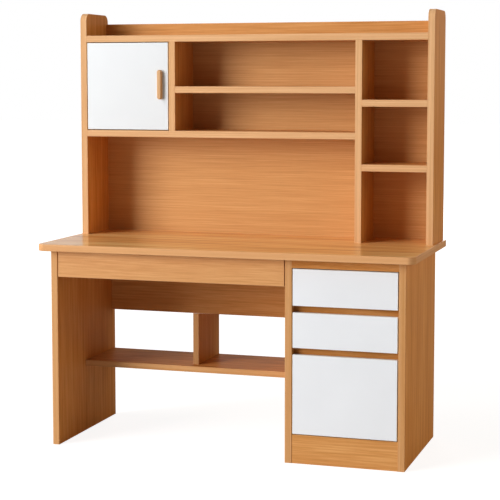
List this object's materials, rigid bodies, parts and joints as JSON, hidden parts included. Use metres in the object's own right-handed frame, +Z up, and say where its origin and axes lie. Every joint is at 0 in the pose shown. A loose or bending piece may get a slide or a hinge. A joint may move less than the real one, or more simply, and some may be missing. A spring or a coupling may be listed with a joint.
{
  "type": "student desk with hutch",
  "caption": "Student desk with a drawer pedestal, a wide drawer and a foot shelf, carrying a hutch of open shelves with a hinged white door.",
  "frame": {"origin": "on the floor under the middle of the desktop", "axes": "+X to the user's right along the desktop, +Y from the user's side to the back, +Z up"},
  "size_m": [1.4, 0.6, 1.6],
  "materials": {
    "wood_laminate": "satin",
    "desktop_laminate": "satin",
    "back_panel": "satin",
    "drawer_board": "satin",
    "white_laminate": "satin",
    "handle_wood": "satin",
    "dowel_beech": "matte",
    "runner_steel": "satin",
    "bright_steel": "satin",
    "nylon": "matte",
    "catch_plastic": "matte"
  },
  "bodies": {
    "root": {"column_divider": "wood_laminate", "column_lower_shelf": "wood_laminate", "column_upper_shelf": "wood_laminate", "desk_dowels": "dowel_beech", "desktop": "desktop_laminate", "door_catch": "catch_plastic", "door_divider": "wood_laminate", "door_pivot_bushes": "nylon", "foot_divider": "wood_laminate", "foot_shelf": "wood_laminate", "gallery_rail": "wood_laminate", "hutch_back": "back_panel", "hutch_dowels": "dowel_beech", "hutch_left_side": "wood_laminate", "hutch_low_shelf": "wood_laminate", "hutch_middle_shelf": "wood_laminate", "hutch_right_side": "wood_laminate", "hutch_top_shelf": "wood_laminate", "left_leg_panel": "wood_laminate", "modesty_panel": "wood_laminate", "pedestal_back": "back_panel", "pedestal_bottom": "wood_laminate", "pedestal_header_rail": "wood_laminate", "pedestal_inner_side": "wood_laminate", "pedestal_lower_rail": "wood_laminate", "pedestal_outer_side": "wood_laminate", "pedestal_plinth": "wood_laminate", "pedestal_runner_channels": "runner_steel", "pedestal_upper_rail": "wood_laminate", "wide_runner_channels": "runner_steel"},
    "wide_drawer": {"wide_drawer_back": "drawer_board", "wide_drawer_bottom": "back_panel", "wide_drawer_front": "wood_laminate", "wide_drawer_left_side": "drawer_board", "wide_drawer_right_side": "drawer_board", "wide_drawer_runners": "runner_steel"},
    "top_drawer": {"top_drawer_back": "drawer_board", "top_drawer_bottom": "back_panel", "top_drawer_front": "white_laminate", "top_drawer_left_side": "drawer_board", "top_drawer_right_side": "drawer_board", "top_drawer_runners": "runner_steel"},
    "middle_drawer": {"middle_drawer_back": "drawer_board", "middle_drawer_bottom": "back_panel", "middle_drawer_front": "white_laminate", "middle_drawer_left_side": "drawer_board", "middle_drawer_right_side": "drawer_board", "middle_drawer_runners": "runner_steel"},
    "bottom_drawer": {"bottom_drawer_back": "drawer_board", "bottom_drawer_bottom": "back_panel", "bottom_drawer_front": "white_laminate", "bottom_drawer_left_side": "drawer_board", "bottom_drawer_right_side": "drawer_board", "bottom_drawer_runners": "runner_steel"},
    "door": {"catch_strike": "bright_steel", "door_handle": "handle_wood", "door_panel": "white_laminate", "door_pivot_pins": "bright_steel", "handle_screws": "bright_steel"}
  },
  "joints": [
    {"name": "door_hinge", "type": "hinge", "parent": "root", "child": "door", "pos_m": [-0.641, 0.0955, 1.32225], "axis": [0, 0, -1], "range_deg": [0, 105]},
    {"name": "wide_drawer_slide", "type": "slide", "parent": "root", "child": "wide_drawer", "axis": [0, -1, 0], "range_m": [0, 0.3]},
    {"name": "top_drawer_slide", "type": "slide", "parent": "root", "child": "top_drawer", "axis": [0, -1, 0], "range_m": [0, 0.3]},
    {"name": "middle_drawer_slide", "type": "slide", "parent": "root", "child": "middle_drawer", "axis": [0, -1, 0], "range_m": [0, 0.3]},
    {"name": "bottom_drawer_slide", "type": "slide", "parent": "root", "child": "bottom_drawer", "axis": [0, -1, 0], "range_m": [0, 0.3]}
  ]
}
